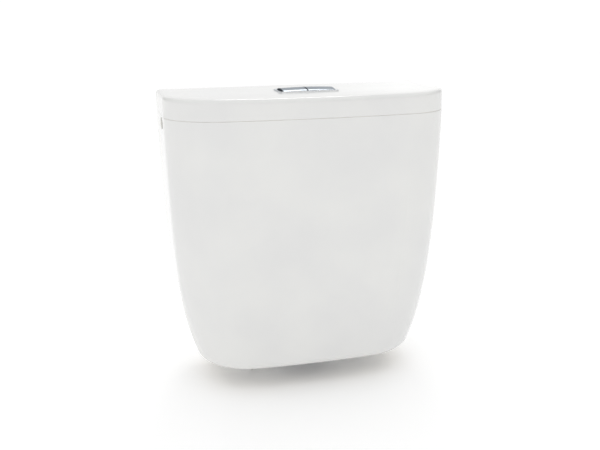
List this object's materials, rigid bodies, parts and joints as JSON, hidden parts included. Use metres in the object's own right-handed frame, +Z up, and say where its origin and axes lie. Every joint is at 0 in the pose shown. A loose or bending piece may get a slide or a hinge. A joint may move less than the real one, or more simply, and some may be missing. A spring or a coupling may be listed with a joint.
{
  "type": "toilet cistern",
  "caption": "White ceramic close-coupled toilet cistern with tapering rounded front, flush lid and rectangular chrome dual-flush button, complete with flush valve, fill valve and fixings.",
  "frame": {"origin": "on the axis of the flush outlet, level with the foot rim", "axes": "+X right as seen from the front, +Y to the wall, +Z up"},
  "size_m": [0.3816, 0.183, 0.4089],
  "materials": {
    "glazed_ceramic": "gloss",
    "chrome": "polished",
    "white_plastic": "satin",
    "grey_plastic": "satin",
    "blue_plastic": "satin",
    "float_plastic": "satin",
    "rod_plastic": "satin",
    "black_rubber": "matt",
    "steel": "zinc plated"
  },
  "bodies": {
    "cistern": {"cistern_body": "glazed_ceramic", "flush_valve_base": "grey_plastic", "outlet_seal_washer": "black_rubber", "outlet_back_nut": "white_plastic", "pan_gasket": "black_rubber", "flush_valve_tower": "white_plastic", "rocker_pin": "steel", "float_guide_rods": "rod_plastic", "float_stop_clips": "blue_plastic", "fill_valve_shank": "white_plastic", "inlet_seal_washer": "black_rubber", "inlet_back_nut": "white_plastic", "inlet_filter": "grey_plastic", "fill_valve_riser": "white_plastic", "riser_lock_ring": "grey_plastic", "valve_diaphragm": "black_rubber", "fill_valve_cap": "grey_plastic", "float_lever_pin": "steel", "cistern_bolts": "steel", "bolt_rubber_washers": "black_rubber", "bolt_under_washers": "black_rubber", "bolt_steel_washers": "steel", "bolt_lock_nuts": "steel", "side_hole_plug": "white_plastic", "side_plug_nut": "white_plastic"},
    "lid": {"cistern_lid": "glazed_ceramic", "button_bezel": "chrome", "button_housing": "white_plastic", "button_bridge_plate": "white_plastic", "button_clamp_nuts": "grey_plastic", "full_button_spring": "steel", "half_button_spring": "steel"},
    "full_button": {"full_flush_button": "chrome", "full_push_rod": "rod_plastic"},
    "half_button": {"half_flush_button": "chrome", "half_push_rod": "rod_plastic"},
    "flush_tube": {"overflow_tube": "grey_plastic", "seat_seal": "black_rubber"},
    "full_rocker": {"full_flush_rocker": "blue_plastic"},
    "half_lever": {"half_flush_lever": "blue_plastic"},
    "full_float": {"full_flush_float": "float_plastic"},
    "half_float": {"half_flush_float": "float_plastic"},
    "fill_float": {"fill_float": "float_plastic", "float_adjusting_rod": "rod_plastic"},
    "float_arm": {"float_lever": "blue_plastic"}
  },
  "joints": [
    {"name": "lid_lift", "type": "slide", "parent": "cistern", "child": "lid", "axis": [0, 0, 1], "range_m": [0, 0.13]},
    {"name": "full_button_press", "type": "slide", "parent": "lid", "child": "full_button", "axis": [0, 0, -1], "range_m": [0, 0.008], "stiffness_N_per_m": 150, "springref_m": -0.012, "deforming": ["full_button_spring"]},
    {"name": "half_button_press", "type": "slide", "parent": "lid", "child": "half_button", "axis": [0, 0, -1], "range_m": [0, 0.008], "stiffness_N_per_m": 150, "springref_m": -0.012, "deforming": ["half_button_spring"]},
    {"name": "tube_lift", "type": "slide", "parent": "cistern", "child": "flush_tube", "axis": [0, 0, 1], "range_m": [0, 0.0105]},
    {"name": "full_rocker_turn", "type": "hinge", "parent": "cistern", "child": "full_rocker", "pos_m": [0, -0.019, 0.262], "axis": [1, 0, 0], "range_deg": [0, 29]},
    {"name": "half_lever_turn", "type": "hinge", "parent": "cistern", "child": "half_lever", "pos_m": [0, -0.019, 0.262], "axis": [1, 0, 0], "range_deg": [0, 29]},
    {"name": "full_float_rise", "type": "slide", "parent": "cistern", "child": "full_float", "axis": [0, 0, 1], "range_m": [0, 0.01]},
    {"name": "half_float_rise", "type": "slide", "parent": "cistern", "child": "half_float", "axis": [0, 0, 1], "range_m": [0, 0.01]},
    {"name": "fill_float_rise", "type": "slide", "parent": "cistern", "child": "fill_float", "axis": [0, 0, 1], "range_m": [0, 0.014]},
    {"name": "float_lever_turn", "type": "hinge", "parent": "cistern", "child": "float_arm", "pos_m": [0.112, -0.002, 0.2855], "axis": [-1, 0, 0], "range_deg": [0, 25.57]}
  ],
  "couplings": [
    {"joint": "tube_lift", "follows": "full_button_press", "ratio": 1.3},
    {"joint": "full_rocker_turn", "follows": "full_button_press", "rad_per_m": 62.5},
    {"joint": "half_lever_turn", "follows": "half_button_press", "rad_per_m": 62.5},
    {"joint": "float_lever_turn", "follows": "fill_float_rise", "rad_per_m": 31.505}
  ]
}
